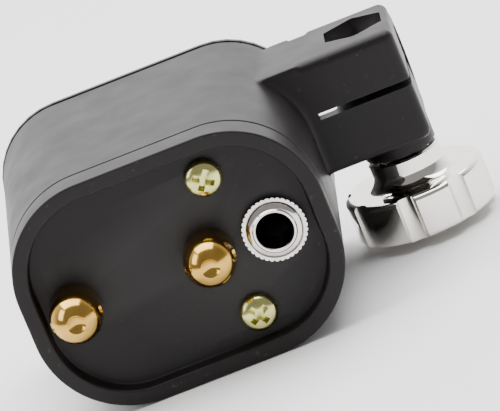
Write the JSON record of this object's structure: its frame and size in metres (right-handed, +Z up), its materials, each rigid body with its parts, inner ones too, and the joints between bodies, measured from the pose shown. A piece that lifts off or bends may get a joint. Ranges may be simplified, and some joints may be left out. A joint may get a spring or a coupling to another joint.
{
  "type": "rotary tattoo machine",
  "caption": "Direct-drive rotary tattoo machine: rounded body with recessed rear panel, clip-cord posts, phone-jack socket and a split tube clamp with a thumb knob.",
  "frame": {"origin": "middle of the flat underside of the body", "axes": "+Z up, +X along the tube clamp's bore, -Y out of the rear panel"},
  "size_m": [0.0825, 0.0627, 0.0434],
  "materials": {
    "black_plastic": "satin moulded black",
    "brass": "polished",
    "yellow_zinc": "yellow zinc plate",
    "nickel": "bright nickel plate",
    "chrome": "polished chrome",
    "steel": "machined steel",
    "alloy": "turned aluminium",
    "copper": "bare copper",
    "white_plastic": "moulded white",
    "grey_plastic": "moulded grey",
    "carbon": "pressed carbon"
  },
  "bodies": {
    "body": {"housing": "black_plastic", "rear_cap": "black_plastic", "front_plate": "black_plastic", "front_bezel": "black_plastic", "cap_screw_top": "yellow_zinc", "cap_screw_bottom": "yellow_zinc", "plate_screw_upper": "yellow_zinc", "plate_screw_lower": "yellow_zinc", "motor_screw_upper": "yellow_zinc", "motor_screw_lower": "yellow_zinc", "clip_post_left": "brass", "clip_post_right": "brass", "solder_tag_left": "copper", "solder_tag_right": "copper", "post_nut_left": "steel", "post_nut_right": "steel", "jack_bushing": "nickel", "jack_nut": "nickel", "jack_body": "grey_plastic", "jack_tip_lug": "copper", "jack_sleeve_lug": "copper", "motor_can": "steel", "motor_end_cap": "white_plastic", "motor_bearing_front": "brass", "motor_bearing_rear": "brass", "motor_magnet_upper": "grey_plastic", "motor_magnet_lower": "grey_plastic", "motor_brush_left": "carbon", "motor_brush_right": "carbon", "motor_terminal_left": "copper", "motor_terminal_right": "copper", "clamp_nut": "steel"},
    "rotor": {"motor_shaft": "steel", "armature_core": "steel", "commutator": "copper", "eccentric_wheel": "alloy", "grub_screw": "steel", "crank_pin": "steel"},
    "crank_bearing": {"crank_bearing": "steel"},
    "knob_washer": {"knob_washer": "steel"},
    "knob": {"clamp_knob": "chrome", "clamp_stud": "steel"},
    "jack_tip_spring": {"jack_tip_spring": "brass"}
  },
  "joints": [
    {"name": "motor_spin", "type": "hinge", "parent": "body", "child": "rotor", "pos_m": [-0.006, 0.005, 0.0286], "axis": [0, 1, 0], "continuous": true},
    {"name": "crank_bearing_spin", "type": "hinge", "parent": "rotor", "child": "crank_bearing", "pos_m": [-0.0031, 0.0245, 0.0286], "axis": [0, 1, 0], "continuous": true},
    {"name": "clamp_travel", "type": "slide", "parent": "body", "child": "knob_washer", "axis": [0, 0, -1], "range_m": [0, 0.003]},
    {"name": "knob_turn", "type": "hinge", "parent": "knob_washer", "child": "knob", "pos_m": [0.04105, 0.014, 0.0097], "axis": [0, 0, -1], "range_deg": [0, 1080]},
    {"name": "tip_spring_flex", "type": "hinge", "parent": "body", "child": "jack_tip_spring", "pos_m": [0.0176, 0.0032, 0.0252], "axis": [-1, 0, 0], "range_deg": [0, 6], "stiffness_Nm_per_rad": 0.05}
  ],
  "couplings": [
    {"joint": "clamp_travel", "follows": "knob_turn", "m_per_rad": 0.00015915}
  ]
}
